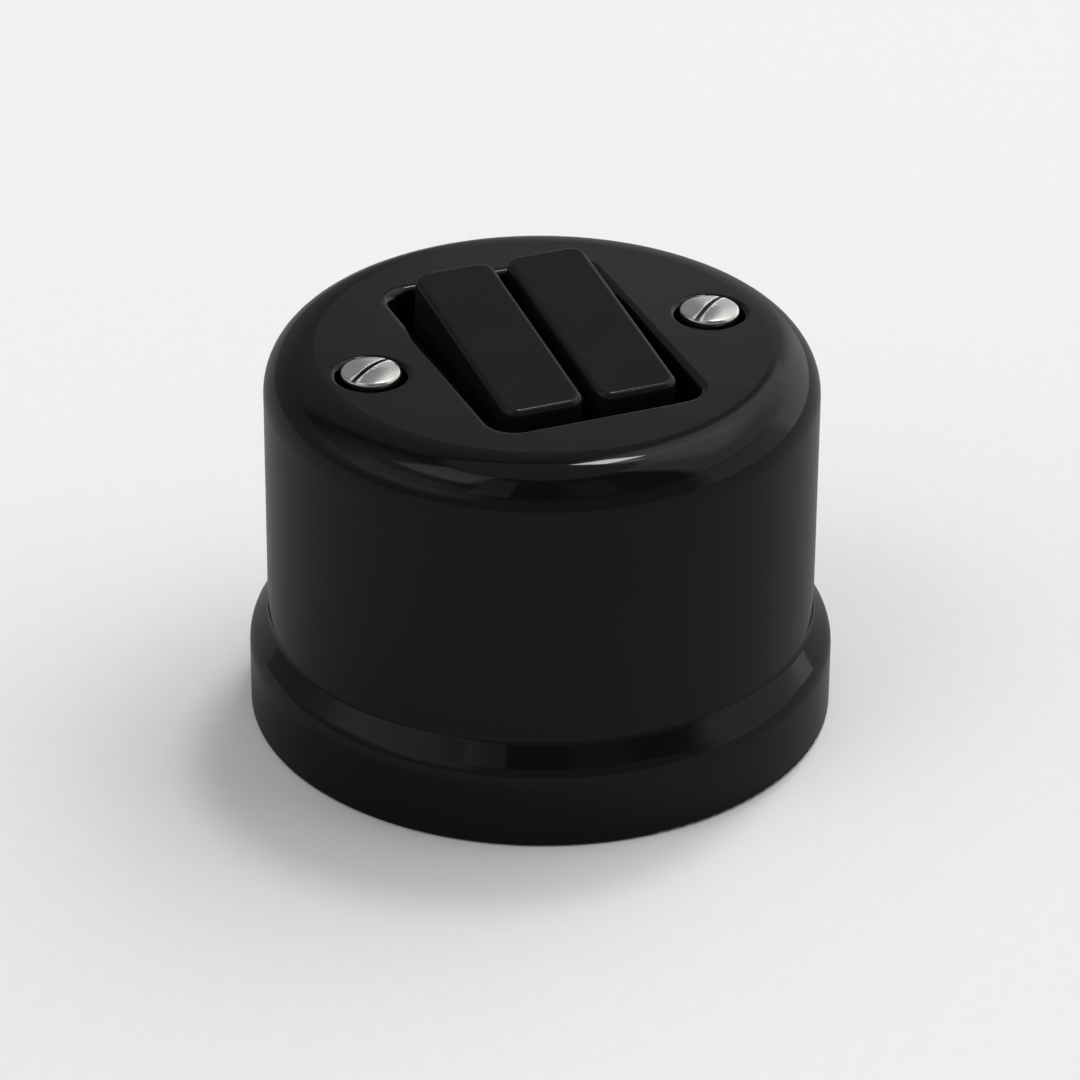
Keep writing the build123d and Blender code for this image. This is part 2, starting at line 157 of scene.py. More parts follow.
@dataclass(frozen=True)
class Finish:
    """A surface finish that can build its own material."""

    name: str

    def shade(self, tree: Tree, place: Socket) -> Inputs:
        """Lay out the pattern of the finish.

        Args:
            tree: The material's node tree.
            place: Object coordinates of the surface, in metres.

        Returns:
            Inputs of the surface shader.
        """
        raise NotImplementedError

    @staticmethod
    def mottle(
        tree: Tree,
        place: Socket,
        size_mm: float,
        detail: float,
        colours: tuple[str, str],
        curl: float = 0.0,
    ) -> tuple[Node, Node]:
        """Mix two colours in clouds.

        Args:
            tree: The material's node tree.
            place: Object coordinates of the surface, in metres.
            size_mm: Width of a cloud.
            detail: How many finer waves break the clouds up.
            colours: The two colours, in sRGB hex.
            curl: How far the clouds are drawn out to strands.

        Returns:
            The clouds and the mixed colour.
        """
        first, second = map(linear, colours)
        shape = {"Scale": per_metre(size_mm), "Detail": detail, "Distortion": curl}
        clouds = add_node(tree, "TexNoise", {"Vector": place, **shape})
        mixed = add_node(tree, "Mix", {"Factor": clouds, "A": first, "B": second}, data_type="RGBA")
        return clouds, mixed

    @staticmethod
    def speckle(
        tree: Tree, place: Socket, radius_mm: float, gap_mm: float, ground: Node, colour: str
    ) -> Node:
        """Strew specks on a ground.

        Args:
            tree: The material's node tree.
            place: Object coordinates of the surface, in metres.
            radius_mm: Radius of a speck.
            gap_mm: Usual distance from speck to speck.
            ground: Colour of the ground.
            colour: Colour of the specks, in sRGB hex.

        Returns:
            The speckled colour.
        """
        cells = add_node(tree, "TexVoronoi", {"Vector": place, "Scale": per_metre(gap_mm)})
        specks = add_node(tree, "Math", {0: cells, 1: radius_mm / gap_mm}, operation="LESS_THAN")
        return add_node(tree, "Mix", {"Factor": specks, "A": ground, "B": linear(colour)}, data_type="RGBA")

    @staticmethod
    def relief(
        tree: Tree, sheen: Node, roughness: tuple[float, float], waves: Node, height_mm: float
    ) -> Inputs:
        """Vary the roughness by one pattern, and raise the surface by another or the same.

        Args:
            tree: The material's node tree.
            sheen: Pattern that the roughness follows.
            roughness: Least and greatest roughness.
            waves: Pattern that the surface follows.
            height_mm: Height of the waves.

        Returns:
            The surface shader's roughness and normal.
        """
        least, most = roughness
        rough = add_node(tree, "MapRange", {"Value": sheen, "To Min": least, "To Max": most})
        bump = add_node(tree, "Bump", {"Height": waves, "Distance": height_mm * MM})
        return {"Roughness": rough, "Normal": bump}

    def material(self) -> bpy.types.Material:
        """Build the material, or find it where it is built already.

        Returns:
            The finished material.
        """
        made = bpy.data.materials.get(self.name)
        if made is None:
            made = bpy.data.materials.new(self.name)
            made.use_nodes = True
            tree = made.node_tree
            tree.nodes.clear()
            place = add_node(tree, "TexCoord").outputs["Object"]
            shader = add_node(tree, "BsdfPrincipled", self.shade(tree, place))
            add_node(tree, "OutputMaterial", {"Surface": shader})
        return made


@dataclass(frozen=True)
class Glaze(Finish):
    """Black glaze fired on turned porcelain.

    A glassy film over a black ground: it looks deep and wet, ripples a little where it ran,
    holds a few pale pinholes, and is wiped off the foot that the piece stood on in the kiln.
    The film alone shines, and only weakly, because all that it mirrors here is pale.
    """

    pooled: str = "#020202"
    thin: str = "#080808"
    pinhole: str = "#181818"
    bare: str = "#cfc7b6"
    film: float = 0.275
    film_ior: float = 1.5
    gloss: float = 0.05
    ground_specular: float = 0.0
    roughness: tuple[float, float] = (0.06, 0.1)
    pool_mm: float = 14.0
    pool_detail: float = 2.0
    pinhole_mm: float = 0.09
    pinhole_gap_mm: float = 4.0
    foot_mm: float = 0.02
    ripple_mm: float = 5.0
    ripple_detail: float = 1.0
    ripple_height_mm: float = 0.01

    def shade(self, tree: Tree, place: Socket) -> Inputs:
        """Lay out pooled film, pinholes, bare foot and ripple.

        Args:
            tree: The material's node tree.
            place: Object coordinates of the surface, in metres.

        Returns:
            Inputs of the surface shader.
        """
        pool, ground = self.mottle(tree, place, self.pool_mm, self.pool_detail, (self.pooled, self.thin))
        holed = self.speckle(tree, place, self.pinhole_mm, self.pinhole_gap_mm, ground, self.pinhole)
        height = add_node(tree, "SeparateXYZ", {"Vector": place}).outputs["Z"]
        foot = add_node(tree, "Math", {0: height, 1: self.foot_mm * MM}, operation="LESS_THAN")
        wiped = {"Factor": foot, "A": holed, "B": linear(self.bare)}
        colour = add_node(tree, "Mix", wiped, data_type="RGBA")
        waves = {"Vector": place, "Scale": per_metre(self.ripple_mm), "Detail": self.ripple_detail}
        ripple = add_node(tree, "TexNoise", waves)
        relief = self.relief(tree, pool, self.roughness, ripple, self.ripple_height_mm)
        return {
            "Base Color": colour,
            "Specular IOR Level": self.ground_specular,
            "Coat Weight": self.film,
            "Coat IOR": self.film_ior,
            "Coat Roughness": self.gloss,
            "Coat Normal": relief["Normal"],
            **relief,
        }


@dataclass(frozen=True)
class Bisque(Finish):
    """Fired porcelain left without glaze: chalky off-white, finely gritty, with a few iron specks."""

    pale: str = "#e9e2d4"
    warm: str = "#d9cfbc"
    iron: str = "#7d6148"
    cloud_mm: float = 9.0
    cloud_detail: float = 3.0
    iron_mm: float = 0.13
    iron_gap_mm: float = 2.6
    grit_mm: float = 0.35
    grit_detail: float = 2.0
    grit_height_mm: float = 0.02
    roughness: tuple[float, float] = (0.6, 0.8)
    specular: float = 0.35

    def shade(self, tree: Tree, place: Socket) -> Inputs:
        """Lay out the cloudy ground, iron specks and grit.

        Args:
            tree: The material's node tree.
            place: Object coordinates of the surface, in metres.

        Returns:
            Inputs of the surface shader.
        """
        _, ground = self.mottle(tree, place, self.cloud_mm, self.cloud_detail, (self.pale, self.warm))
        colour = self.speckle(tree, place, self.iron_mm, self.iron_gap_mm, ground, self.iron)
        grains = {"Vector": place, "Scale": per_metre(self.grit_mm), "Detail": self.grit_detail}
        grit = add_node(tree, "TexNoise", grains)
        relief = self.relief(tree, grit, self.roughness, grit, self.grit_height_mm)
        return {"Base Color": colour, "Specular IOR Level": self.specular, **relief}


@dataclass(frozen=True)
class Moulding(Finish):
    """Moulded plastic: an even body with faint clouds where it flowed, and the mould's own texture."""

    dark: str
    light: str
    cloud_mm: float
    grain_mm: float
    grain_height_mm: float
    roughness: tuple[float, float]
    specular: float
    polish: float = 0.0
    polish_roughness: float = 0.1
    cloud_detail: float = 3.0
    grain_detail: float = 2.0

    def shade(self, tree: Tree, place: Socket) -> Inputs:
        """Lay out the flow clouds and the mould's texture.

        Args:
            tree: The material's node tree.
            place: Object coordinates of the surface, in metres.

        Returns:
            Inputs of the surface shader.
        """
        _, colour = self.mottle(tree, place, self.cloud_mm, self.cloud_detail, (self.dark, self.light))
        texture = {"Vector": place, "Scale": per_metre(self.grain_mm), "Detail": self.grain_detail}
        grain = add_node(tree, "TexNoise", texture)
        relief = self.relief(tree, grain, self.roughness, grain, self.grain_height_mm)
        return {
            "Base Color": colour,
            "Specular IOR Level": self.specular,
            "Coat Weight": self.polish,
            "Coat Roughness": self.polish_roughness,
            "Coat Normal": relief["Normal"],
            **relief,
        }


@dataclass(frozen=True)
class WorkedMetal(Finish):
    """Metal with the lines that rolling, drawing or tumbling left on it, under a thin cloudy tarnish."""

    bright: str
    dull: str
    grain: Grain
    grain_mm: float
    grain_height_mm: float
    roughness: tuple[float, float]
    tarnish_mm: float
    tarnish_detail: float = 3.0
    grain_detail: float = 2.0

    def shade(self, tree: Tree, place: Socket) -> Inputs:
        """Lay out the tarnish and the worked lines.

        Args:
            tree: The material's node tree.
            place: Object coordinates of the surface, in metres.

        Returns:
            Inputs of the surface shader.
        """
        _, colour = self.mottle(tree, place, self.tarnish_mm, self.tarnish_detail, (self.bright, self.dull))
        along = add_node(tree, "Mapping", {"Vector": place, "Scale": self.grain.value})
        worked = {"Vector": along, "Scale": per_metre(self.grain_mm), "Detail": self.grain_detail}
        lines = add_node(tree, "TexNoise", worked)
        relief = self.relief(tree, lines, self.roughness, lines, self.grain_height_mm)
        return {"Base Color": colour, "Metallic": 1.0, **relief}


@dataclass(frozen=True)
class TurnedPlate(Finish):
    """Plated screw steel: fine lathe rings on the head, painted shade in the slot that deepens with depth,
    and lips worn bright under a painted highlight.
    """

    bright: str
    dull: str
    # Painted shade in the slot: a dark tint that deepens towards the slot's floor
    slot_shade: str = "#4a4948"
    # Near-white lips: real rubbed wear, partly a painted highlight
    rubbed_highlight: str = "#f3f2ef"
    roughness: tuple[float, float] = (0.13, 0.24)
    blush_mm: float = 1.6
    blush_detail: float = 4.0
    ring_mm: float = 0.3
    ring_height_mm: float = 0.002

    def shade(self, tree: Tree, place: Socket) -> Inputs:
        """Lay out the plating's blush, the lathe's rings, the painted shade in the slot, and the lips' wear
        with its painted highlight.

        The rings of a real lathe are finer than a pixel, so they are drawn a few times too coarse.

        Args:
            tree: The material's node tree.
            place: Object coordinates of the surface, in metres.

        Returns:
            Inputs of the surface shader.
        """
        blush, colour = self.mottle(tree, place, self.blush_mm, self.blush_detail, (self.bright, self.dull))
        # The slot's walls get painted shade, and its lips a near-white tint that is partly wear and partly a
        # painted highlight
        for mark, tint in ((Mark.SLOT_SHADE, self.slot_shade), (Mark.WEAR_AND_HIGHLIGHT, self.rubbed_highlight)):
            share = add_node(tree, "Attribute", attribute_name=mark.value).outputs["Fac"]
            marked = {"Factor": share, "A": colour, "B": linear(tint)}
            colour = add_node(tree, "Mix", marked, data_type="RGBA")
        radius = add_node(tree, "Attribute", attribute_name=Mark.AXIS_GAP.value).outputs["Fac"]
        turn = add_node(tree, "Math", {0: radius, 1: math.tau / self.ring_mm}, operation="MULTIPLY")
        rings = add_node(tree, "Math", {0: turn}, operation="SINE")
        relief = self.relief(tree, blush, self.roughness, rings, self.ring_height_mm)
        return {"Base Color": colour, "Metallic": 1.0, **relief}


@dataclass(frozen=True)
class PressedFibre(Finish):
    """Pressed fibre sheet: dark, dry and matt, with matted hair-like fibres in it."""

    dark: str = "#45413e"
    light: str = "#5a5550"
    fibre_mm: float = 1.2
    fibre_detail: float = 6.0
    fibre_curl: float = 2.5
    fibre_height_mm: float = 0.03
    roughness: tuple[float, float] = (0.65, 0.85)
    specular: float = 0.3

    def shade(self, tree: Tree, place: Socket) -> Inputs:
        """Lay out the matted fibres.

        Args:
            tree: The material's node tree.
            place: Object coordinates of the surface, in metres.

        Returns:
            Inputs of the surface shader.
        """
        fibres, colour = self.mottle(
            tree, place, self.fibre_mm, self.fibre_detail, (self.dark, self.light), self.fibre_curl
        )
        relief = self.relief(tree, fibres, self.roughness, fibres, self.fibre_height_mm)
        return {"Base Color": colour, "Specular IOR Level": self.specular, **relief}


@dataclass(frozen=True)
class FloorPaper(Finish):
    """White paper sweep: matt and even, with a fibre that shows only as the faintest mottle."""

    pale: str = "#dcdcdc"
    dim: str = "#d8d8d8"
    fibre_mm: float = 2.0
    fibre_detail: float = 2.0
    roughness: float = 0.9
    specular: float = 0.2

    def shade(self, tree: Tree, place: Socket) -> Inputs:
        """Lay out the paper's fibre.

        Args:
            tree: The material's node tree.
            place: Object coordinates of the surface, in metres.

        Returns:
            Inputs of the surface shader.
        """
        _, colour = self.mottle(tree, place, self.fibre_mm, self.fibre_detail, (self.pale, self.dim))
        return {"Base Color": colour, "Roughness": self.roughness, "Specular IOR Level": self.specular}


GLAZE = Glaze("black_glazed_porcelain")
BISQUE = Bisque("unglazed_porcelain")
FIBRE = PressedFibre("pressed_fibre")
PAPER = FloorPaper("white_paper_floor")
# Polished urea: black all through, glossy from the mould, with only a trace of flow in the gloss
KEY_UREA = Moulding(
    "gloss_urea_moulding",
    dark="#121212",
    light="#171717",
    cloud_mm=6.0,
    grain_mm=5.0,
    grain_height_mm=0.002,
    roughness=(0.12, 0.18),
    specular=0.0,
    polish=0.22,
    polish_roughness=0.12,
)
# Wood-filled phenolic: brown-black and matt, mottled by its filler
PHENOLIC = Moulding(
    "matt_phenolic_moulding",
    dark="#2b2725",
    light="#3f3935",
    cloud_mm=0.8,
    grain_mm=0.35,
    grain_height_mm=0.01,
    roughness=(0.45, 0.62),
    specular=0.4,
)
# Natural acetal: milky and waxy, with slow clouds
ACETAL = Moulding(
    "natural_acetal_moulding",
    dark="#d6d0bf",
    light="#e8e3d6",
    cloud_mm=3.0,
    grain_mm=0.5,
    grain_height_mm=0.003,
    roughness=(0.3, 0.42),
    specular=0.5,
)
# Half-hard brass strip: warm, with long fine rolling lines
ROLLED_BRASS = WorkedMetal(
    "rolled_brass",
    bright="#d2a954",
    dull="#b58d43",
    grain=Grain.ROLLED,
    grain_mm=0.18,
    grain_height_mm=0.002,
    roughness=(0.24, 0.4),
    tarnish_mm=5.0,
)
# Hexagon brass bar: the drawing die leaves lines along it
DRAWN_BRASS = WorkedMetal(
    "drawn_brass_bar",
    bright="#d0a850",
    dull="#b89048",
    grain=Grain.DRAWN,
    grain_mm=0.2,
    grain_height_mm=0.003,
    roughness=(0.22, 0.38),
    tarnish_mm=6.0,
)
# Zinc-plated steel: pale and bluish, soft from tumbling
TUMBLED_ZINC = WorkedMetal(
    "tumbled_zinc_plate",
    bright="#c3c9ce",
    dull="#a9adad",
    grain=Grain.TUMBLED,
    grain_mm=0.5,
    grain_height_mm=0.004,
    roughness=(0.3, 0.5),
    tarnish_mm=2.0,
)
# Silver contact: pale and satin, a little yellowed by air
SILVER = WorkedMetal(
    "satin_contact_silver",
    bright="#e2e0da",
    dull="#c9c3b2",
    grain=Grain.TUMBLED,
    grain_mm=0.3,
    grain_height_mm=0.002,
    roughness=(0.2, 0.34),
    tarnish_mm=1.5,
)
# Drawn music wire: dark grey with an oily shine
SPRING_WIRE = WorkedMetal(
    "drawn_spring_wire",
    bright="#8d9094",
    dull="#6f7276",
    grain=Grain.DRAWN,
    grain_mm=0.12,
    grain_height_mm=0.001,
    roughness=(0.22, 0.36),
    tarnish_mm=0.8,
)
# Nickel plate: neutral grey-white, a little cloudy with handling
NICKEL = TurnedPlate("nickel_plated_screw", bright="#a5a4a2", dull="#8b8a88")
# Zinc-plated screw: colder and duller than nickel
ZINC_SCREW = TurnedPlate("zinc_plated_screw", bright="#bcc2c7", dull="#a2a6a6", roughness=(0.3, 0.46))


def dress(node: str, finish: Finish) -> None:
    """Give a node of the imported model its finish.

    Args:
        node: Name of the node.
        finish: Finish that covers it.
    """
    frame["nodes"][node].data.materials[0] = finish.material()
    log.info("%s: %s", node, finish.name)


def join(whole: BMesh, part: BMesh) -> None:
    """Add one shape to another.

    Args:
        whole: The shape that grows.
        part: The shape that is added to it, and freed.
    """
    data = bpy.data.meshes.new("part")
    part.to_mesh(data)
    part.free()
    whole.from_mesh(data)
    bpy.data.meshes.remove(data)


def place_mesh(mesh: BMesh, name: str, finish: Finish, crease: float = 30.0) -> bpy.types.Object:
    """Turn a bmesh in millimetres to an object in metres, smooth but for its sharp edges.

    Args:
        mesh: The finished shape, which is freed.
        name: Name of the object.
        finish: Finish that covers it.
        crease: Angle in degrees past which an edge stays sharp.

    Returns:
        The object, at the origin.
    """
    for face in mesh.faces:
        face.smooth = True
    for edge in mesh.edges:
        edge.smooth = edge.is_manifold and edge.calc_face_angle() < math.radians(crease)
    bmesh.ops.scale(mesh, vec=(MM, MM, MM), verts=mesh.verts[:])
    data = bpy.data.meshes.new(name)
    mesh.to_mesh(data)
    mesh.free()
    data.materials.append(finish.material())
    made = bpy.data.objects.new(name, data)
    bpy.context.scene.collection.objects.link(made)
    log.info("%s: %d faces, %s", name, len(data.polygons), finish.name)
    return made


@dataclass
class PorcelainShell:
    """Glazed cover and the bare base disc let into its foot."""

    def build(self) -> None:
        """Dress the cover and the base."""
        dress("ceramic_cover", GLAZE)
        dress("ceramic_base", BISQUE)


@dataclass
class ContactDeck:
    """Moulded housing with its insulating plate, brass strips, contacts, clamps and pillars."""

    strips: tuple[str, ...] = ("line_terminal", "up_terminal", "down_terminal", "link_strap")

    def build(self) -> None:
        """Dress the deck's pieces."""
        dress("mechanism_housing", PHENOLIC)
        dress("insulating_plate", FIBRE)
        for strip in self.strips:
            dress(strip, ROLLED_BRASS)
        dress("fixed_contacts", SILVER)
        dress("terminal_clamps", TUMBLED_ZINC)
        dress("threaded_pillars", DRAWN_BRASS)


@dataclass
class KeyPole:
    """One rocker key with the sprung plunger and contact rocker under it.

    Sizes are in millimetres. The coil's foot is its height over the key's pivot, along the bore.
    """

    side: str
    wire_d: float = 0.34
    coil_d: float = 2.2
    coil_foot: float = -3.95
    coil_h: float = 5.9
    end_turns: int = 1
    open_turns: int = 5
    steps: int = 24
    wire_sides: int = 8
    crease: float = 60.0

    @property
    def bore(self) -> Matrix:
        """Work out the place of the key's bore: at its pivot, along the way that the plunger slides.

        Returns:
            The place, in millimetres.
        """
        pivot = Vector(JOINTS[f"{self.side}_key_rock"]["pos_m"]) / MM
        along = Vector(JOINTS[f"{self.side}_plunger_slide"]["axis"])
        return Matrix.Translation(pivot) @ UP.rotation_difference(along).to_matrix().to_4x4()

    def wind_spring(self) -> None:
        """Wind the plunger's spring of round wire, with a closed turn at each end."""
        mesh = bmesh.new()
        coil_r = (self.coil_d - self.wire_d) / 2
        section = Matrix.Translation((coil_r, 0, self.coil_foot + self.wire_d / 2))
        bmesh.ops.create_circle(
            mesh,
            segments=self.wire_sides,
            radius=self.wire_d / 2,
            matrix=section @ Matrix.Rotation(math.pi / 2, 4, "X"),
        )
        end_rise = self.end_turns * self.wire_d
        open_rise = self.coil_h - self.wire_d - 2 * end_rise
        closed, opened = (self.end_turns, end_rise), (self.open_turns, open_rise)
        last: list[Any] = mesh.verts[:] + mesh.edges[:]
        for turns, rise in (closed, opened, closed):
            coil = bmesh.ops.spin(
                mesh,
                geom=last,
                cent=(0, 0, 0),
                axis=UP,
                dvec=(0, 0, rise / (turns * self.steps)),
                angle=math.tau * turns,
                steps=turns * self.steps,
            )
            last = coil["geom_last"]
        bmesh.ops.holes_fill(mesh, edges=[edge for edge in mesh.edges if edge.is_boundary], sides=0)
        bmesh.ops.recalc_face_normals(mesh, faces=mesh.faces[:])
        mesh.transform(self.bore)
        made = place_mesh(mesh, f"{self.side}_coil_spring", SPRING_WIRE, self.crease)
        # The closed turns stay with the key and the plunger, and the open ones close up between them
        top = self.bore @ Vector((0, 0, self.coil_foot + self.coil_h - end_rise)) * MM
        foot = self.bore @ Vector((0, 0, self.coil_foot + end_rise + self.wire_d)) * MM
        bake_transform(made, f"{self.side}_key", f"{self.side}_plunger", start=top, end=foot)
        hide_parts(f"{self.side}_spring")

    def build(self) -> None:
        """Dress the pole's pieces and wind its spring."""
        dress(f"{self.side}_key", KEY_UREA)
        dress(f"{self.side}_plunger", ACETAL)
        dress(f"{self.side}_contact_rocker", ROLLED_BRASS)
        dress(f"{self.side}_rocker_rivets", SILVER)
        self.wind_spring()


@dataclass(frozen=True)
class Spot:
    """Where one screw of a set stands: on which side along X and Y, and its slot's bearing in degrees."""

    side_x: int
    side_y: int
    bearing: float = 0.0


@dataclass
class SlottedScrews:
    """A set of slotted screws: heads turned and sawn across, shanks threaded, all plated.

    Sizes are in millimetres. The thread's depth is a share of its pitch.
    """

    node: str
    spots: tuple[Spot, ...]
    slot: Slot
    finish: Finish
    head_r: float
    rim_h: float
    dome_h: float
    shank_r: float
    length: float
    plain_length: float
    slot_w: float
    slot_depth: float
    pitch: float
    faces_wall: bool = False
    thread_depth: float = 0.6
    point_h: float = 0.4
    edge_r: float = 0.3
    edge_steps: int = 3
    lip_r: float = 0.14
    lip_steps: int = 4
    dome_steps: int = 8
    steps: int = 48
    crease: float = 28.0

    @property
    def core_r(self) -> float:
        """Radius at the root of the thread."""
        return self.shank_r - self.thread_depth * self.pitch

    @property
    def top_z(self) -> float:
        """Height of the dome over the seat."""
        return self.rim_h + self.dome_h

    def turn_blank(self) -> BMesh:
        """Turn the head and the shank's core on the screw's own axis.

        Returns:
            The blank, with its seat at height nought.
        """
        mesh = bmesh.new()
        dome_r = (self.head_r**2 + self.dome_h**2) / (2 * self.dome_h)
        arc = bmesh.ops.spin(
            mesh,
            geom=[mesh.verts.new((0, 0, self.top_z))],
            cent=(0, 0, self.top_z - dome_r),
            axis=(0, 1, 0),
            angle=math.asin(self.head_r / dome_r),
            steps=self.dome_steps,
        )
        last = next(item for item in arc["geom_last"] if isinstance(item, bmesh.types.BMVert))
        for radius, height in (
            (self.head_r, 0),
            (self.shank_r, 0),
            (self.shank_r, -self.plain_length),
            (self.core_r, -self.plain_length),
            (self.core_r, self.point_h - self.length),
            (self.core_r - self.point_h, -self.length),
            (0, -self.length),
        ):
            corner = mesh.verts.new((radius, 0, height))
            mesh.edges.new((last, corner))
            last = corner
        bmesh.ops.spin(
            mesh,
            geom=mesh.verts[:] + mesh.edges[:],
            cent=(0, 0, 0),
            axis=UP,
            angle=math.tau,
            steps=self.steps,
            use_merge=True,
        )
        bmesh.ops.remove_doubles(mesh, verts=mesh.verts[:], dist=TOUCH)
        bmesh.ops.recalc_face_normals(mesh, faces=mesh.faces[:])
        rim = [
            edge
            for edge in mesh.edges
            if all(
                abs(v.co.z - self.rim_h) < TOUCH and abs(v.co.xy.length - self.head_r) < TOUCH
                for v in edge.verts
            )
        ]
        bmesh.ops.bevel(
            mesh,
            geom=rim,
            offset=self.edge_r,
            segments=self.edge_steps,
            profile=0.5,
            affect="EDGES",
            material=-1,
        )
        return mesh

    def saw_slot(self, mesh: BMesh) -> None:
        """Saw the slot along X and round its lips.

        Args:
            mesh: The turned blank.
        """
        half = self.slot_w / 2
        floor = self.top_z - self.slot_depth
        for point, normal in (
            ((0, half, 0), (0, 1, 0)),
            ((0, -half, 0), (0, 1, 0)),
            ((0, 0, floor), UP),
        ):
            bmesh.ops.bisect_plane(
                mesh,
                geom=mesh.verts[:] + mesh.edges[:] + mesh.faces[:],
                dist=TOUCH,
                plane_co=point,
                plane_no=normal,
            )
        middles = {face: face.calc_center_median() for face in mesh.faces}
        waste = [face for face, middle in middles.items() if abs(middle.y) < half and middle.z > floor]
        bmesh.ops.delete(mesh, geom=waste, context="FACES")
        for side in (half, -half):
            wall = [
                edge
                for edge in mesh.edges
                if edge.is_boundary and all(abs(v.co.y - side) < TOUCH for v in edge.verts)
            ]
            bmesh.ops.contextual_create(mesh, geom=wall)
        bmesh.ops.holes_fill(mesh, edges=[edge for edge in mesh.edges if edge.is_boundary], sides=0)
        bmesh.ops.recalc_face_normals(mesh, faces=mesh.faces[:])
        lips = [
            edge
            for edge in mesh.edges
            if all(abs(abs(v.co.y) - half) < TOUCH and v.co.z > floor + self.lip_r for v in edge.verts)
        ]
        bmesh.ops.bevel(
            mesh,
            geom=lips,
            offset=self.lip_r,
            segments=self.lip_steps,
            profile=0.5,
            affect="EDGES",
            clamp_overlap=True,
            material=-1,
        )

    def cut_thread(self) -> BMesh:
        """Wind the thread's ridge round the core.

        Returns:
            The ridge, cut off square at both ends.
        """
        mesh = bmesh.new()
        root = self.core_r - TOUCH
        half = self.pitch / 2
        # A turn past each end is wound too, and then cut off
        start = -self.length - self.pitch
        turns = math.ceil((self.length - self.plain_length) / self.pitch) + 2
        section = bmesh.ops.create_circle(mesh, segments=3, radius=half)["verts"]
        for vert, (radius, height) in zip(section, ((root, -half), (self.shank_r, 0), (root, half))):
            vert.co = (radius, 0, start + height)
        bmesh.ops.spin(
            mesh,
            geom=mesh.verts[:] + mesh.edges[:],
            cent=(0, 0, 0),
            axis=UP,
            dvec=(0, 0, self.pitch / self.steps),
            angle=math.tau * turns,
            steps=self.steps * turns,
        )
        for height, keep_above in ((self.point_h - self.length, True), (-self.plain_length, False)):
            bmesh.ops.bisect_plane(
                mesh,
                geom=mesh.verts[:] + mesh.edges[:] + mesh.faces[:],
                dist=TOUCH,
                plane_co=(0, 0, height),
                plane_no=UP,
                clear_inner=keep_above,
                clear_outer=not keep_above,
            )
        bmesh.ops.holes_fill(mesh, edges=[edge for edge in mesh.edges if edge.is_boundary], sides=0)
        bmesh.ops.recalc_face_normals(mesh, faces=mesh.faces[:])
        return mesh

    def mark(self, mesh: BMesh) -> None:
        """Note each point's distance from the axis, its depth in the slot for the painted shade there, and
        the lips for their wear and painted highlight.

        Args:
            mesh: The finished screw on its own axis.
        """
        for mark in Mark:
            mesh.verts.layers.float.new(mark.value)
        gap, slot_shade, wear_and_highlight = (mesh.verts.layers.float[mark.value] for mark in Mark)
        for vert in mesh.verts:
            vert[gap] = vert.co.xy.length
            depth = (self.top_z - vert.co.z) / self.slot_depth
            past_wall = abs(vert.co.y) - self.slot_w / 2
            # Painted shade: the slot's walls grow darker the deeper they go
            vert[slot_shade] = depth if past_wall < TOUCH and depth < 1 + TOUCH else 0
            # The lips' near-white tint: real wear, partly a painted highlight
            vert[wear_and_highlight] = depth < 1 and TOUCH < past_wall < self.lip_r - TOUCH

    def seats(self) -> list[Matrix]:
        """Work out each screw's place from the node's box, whose sides the heads reach.

        Returns:
            For each spot, the place of the seat's middle with the slot along its X.
        """
        low, high = (Vector(corner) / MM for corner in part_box(self.node))
        reach = (high - low) / 2 - Vector((self.head_r, self.head_r, 0))
        seat_z = high.z - self.length if self.faces_wall else low.z + self.length
        facing = Matrix.Rotation(math.pi if self.faces_wall else 0, 4, "X")
        return [
            Matrix.Translation((spot.side_x * reach.x, spot.side_y * reach.y, seat_z))
            @ facing
            @ Matrix.Rotation(math.radians(spot.bearing), 4, "Z")
            for spot in self.spots
        ]

    def build(self) -> None:
        """Make the screws, set them in their places and hide the plain ones."""
        screws = bmesh.new()
        for seat in self.seats():
            screw = self.turn_blank()
            self.saw_slot(screw)
            join(screw, self.cut_thread())
            self.mark(screw)
            screw.transform(seat)
            join(screws, screw)
        made = place_mesh(screws, f"{self.node}_threaded", self.finish, self.crease)
        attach(made, "switch_body")
        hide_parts(self.node)


# Raised-head screws of the cover, left at the bearings that the photograph shows
COVER_SCREWS = SlottedScrews(
    node="cover_screws",
    spots=(Spot(-1, 0, 33.0), Spot(1, 0, 40.0)),
    slot=Slot.NICKEL,
    finish=NICKEL,
    head_r=3.35,
    rim_h=2.6,
    dome_h=0.55,
    shank_r=2.0,
    length=14.0,
    plain_length=3.8,
    slot_w=0.55,
    slot_depth=0.6,
    pitch=0.7,
)
# Flat-headed screws from behind, which hold the pillars and the housing to the base
PILLAR_SCREWS = SlottedScrews(
    node="pillar_screws",
    spots=(Spot(-1, 0), Spot(1, 0)),
    slot=Slot.ZINC,
    finish=ZINC_SCREW,
    head_r=3.3,
    rim_h=2.3,
    dome_h=0.2,
    shank_r=2.0,
    length=10.0,
    plain_length=2.0,
    slot_w=0.8,
    slot_depth=1.1,
    pitch=0.7,
    faces_wall=True,
)
HOUSING_SCREWS = replace(PILLAR_SCREWS, node="housing_screws", spots=(Spot(0, -1), Spot(0, 1)))
# Small screws of the wire clamps
TERMINAL_SCREWS = SlottedScrews(
    node="terminal_screws",
    spots=(Spot(-1, 1), Spot(-1, -1), Spot(1, -1)),
    slot=Slot.ZINC,
    finish=ZINC_SCREW,
    head_r=2.1,
    rim_h=1.4,
    dome_h=0.4,
    shank_r=1.5,
    length=5.7,
    plain_length=1.0,
    slot_w=0.5,
    slot_depth=0.9,
    pitch=0.5,
)


